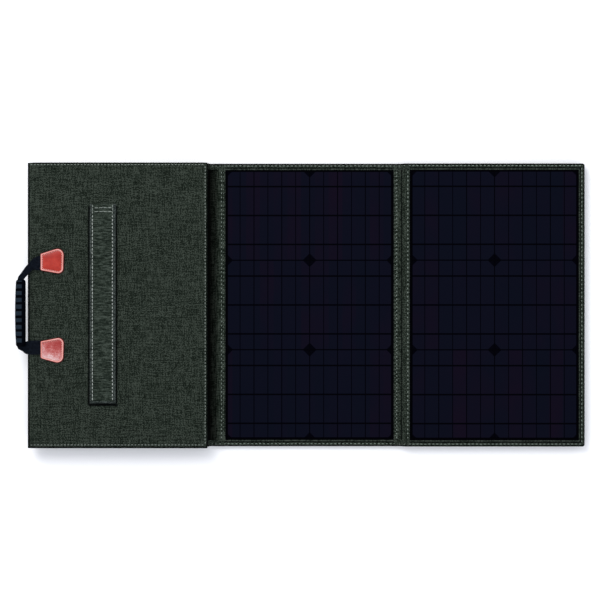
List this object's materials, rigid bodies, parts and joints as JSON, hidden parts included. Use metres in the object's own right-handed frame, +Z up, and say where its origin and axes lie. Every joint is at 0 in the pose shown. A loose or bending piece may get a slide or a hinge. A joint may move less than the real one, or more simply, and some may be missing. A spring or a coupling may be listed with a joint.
{
  "type": "folding solar panel kit",
  "caption": "Folding canvas solar array with stiffened cell leaves, kickstands, webbing carry handle with ribbed grip, leather tabs and a zipped pouch with an output box.",
  "frame": {"origin": "middle of the underside of the laid-out array, on the surface it lies on", "axes": "+X along the row of leaves towards the open right-hand leaf, +Y along the hinge lines, +Z up out of the cell faces"},
  "size_m": [1.0016, 0.5, 0.0475],
  "materials": {
    "canvas": "heathered woven canvas, matt",
    "board": "plain",
    "backsheet": "black laminate",
    "cell": "dark mono silicon under film",
    "ribbon": "dark coated contact ribbon",
    "film": "clear textured film",
    "webbing": "woven webbing, navy black",
    "grip_rubber": "ribbed, satin",
    "red_leather": "glossy with pale edges",
    "pad": "hook and loop",
    "zip_plastic": "moulded coil",
    "zip_metal": "black lacquer",
    "box_plastic": "fine textured",
    "screw_steel": "zinc",
    "circuit": "solder mask"
  },
  "bodies": {
    "leaf_4": {"leaf4_back_cover": "canvas", "leaf4_board": "board", "leaf4_backsheet": "backsheet", "leaf4_border": "canvas", "leaf4_cells": "cell", "leaf4_ribbons": "ribbon", "leaf4_film": "film", "hinge_34_front": "canvas", "hinge_34_back": "canvas", "kickstand_b_anchor": "canvas", "kickstand_b_pad": "pad"},
    "leaf_3": {"leaf3_back_cover": "canvas", "leaf3_board": "board", "leaf3_backsheet": "backsheet", "leaf3_border": "canvas", "leaf3_cells": "cell", "leaf3_ribbons": "ribbon", "leaf3_film": "film", "hinge_23": "canvas"},
    "leaf_2": {"leaf2_back_cover": "canvas", "leaf2_board": "board", "leaf2_backsheet": "backsheet", "leaf2_border": "canvas", "leaf2_cells": "cell", "leaf2_ribbons": "ribbon", "leaf2_film": "film", "hinge_12": "canvas", "pouch_panel": "canvas", "pouch_gusset": "canvas", "zip_tape": "webbing", "zip_coil": "zip_plastic", "output_box_base": "box_plastic", "output_box_lid": "box_plastic", "output_box_screws": "screw_steel", "circuit_board": "circuit", "bypass_diodes": "box_plastic", "dc_socket": "box_plastic", "usb_socket": "screw_steel"},
    "leaf_1": {"leaf1_back_cover": "canvas", "leaf1_board": "board", "leaf1_backsheet": "backsheet", "leaf1_border": "canvas", "leaf1_cells": "cell", "leaf1_ribbons": "ribbon", "leaf1_film": "film", "kickstand_a_anchor": "canvas", "kickstand_a_pad": "pad", "webbing_ends": "webbing", "handle_tab_upper": "red_leather", "handle_tab_lower": "red_leather"},
    "kickstand_a": {"kickstand_a_cover": "canvas", "kickstand_a_board": "board"},
    "kickstand_b": {"kickstand_b_cover": "canvas", "kickstand_b_board": "board"},
    "handle": {"handle_webbing": "webbing", "handle_grip": "grip_rubber"},
    "zip_slider": {"zip_slider": "zip_metal", "zip_pull": "webbing"}
  },
  "joints": [
    {"name": "fold_34", "type": "hinge", "parent": "leaf_4", "child": "leaf_3", "pos_m": [0.1784, 0, 0.0115], "axis": [0, 1, 0], "range_deg": [0, 180], "deforming": ["hinge_34_front", "hinge_34_back"]},
    {"name": "fold_23", "type": "hinge", "parent": "leaf_3", "child": "leaf_2", "pos_m": [-0.1517, 0, -0.0005], "axis": [0, 1, 0], "range_deg": [-180, 0], "deforming": ["hinge_23"]},
    {"name": "fold_12", "type": "hinge", "parent": "leaf_2", "child": "leaf_1", "pos_m": [-0.4775, 0, 0.02425], "axis": [0, -1, 0], "range_deg": [0, 180], "deforming": ["hinge_12"]},
    {"name": "kickstand_a_swing", "type": "hinge", "parent": "leaf_1", "child": "kickstand_a", "pos_m": [-0.3475, 0.16, 0.0335], "axis": [-1, 0, 0], "range_deg": [0, 60]},
    {"name": "kickstand_b_swing", "type": "hinge", "parent": "leaf_4", "child": "kickstand_b", "pos_m": [0.335, 0.16, 0.0055], "axis": [1, 0, 0], "range_deg": [0, 60]},
    {"name": "handle_swing", "type": "hinge", "parent": "leaf_1", "child": "handle", "pos_m": [-0.4588, 0, 0.036], "axis": [0, 1, 0], "range_deg": [0, 150]},
    {"name": "zip_slide", "type": "slide", "parent": "leaf_2", "child": "zip_slider", "axis": [1, 0, 0], "range_m": [0, 0.18]}
  ],
  "couplings": [
    {"joint": "fold_23", "follows": "fold_34", "ratio": -1}
  ]
}
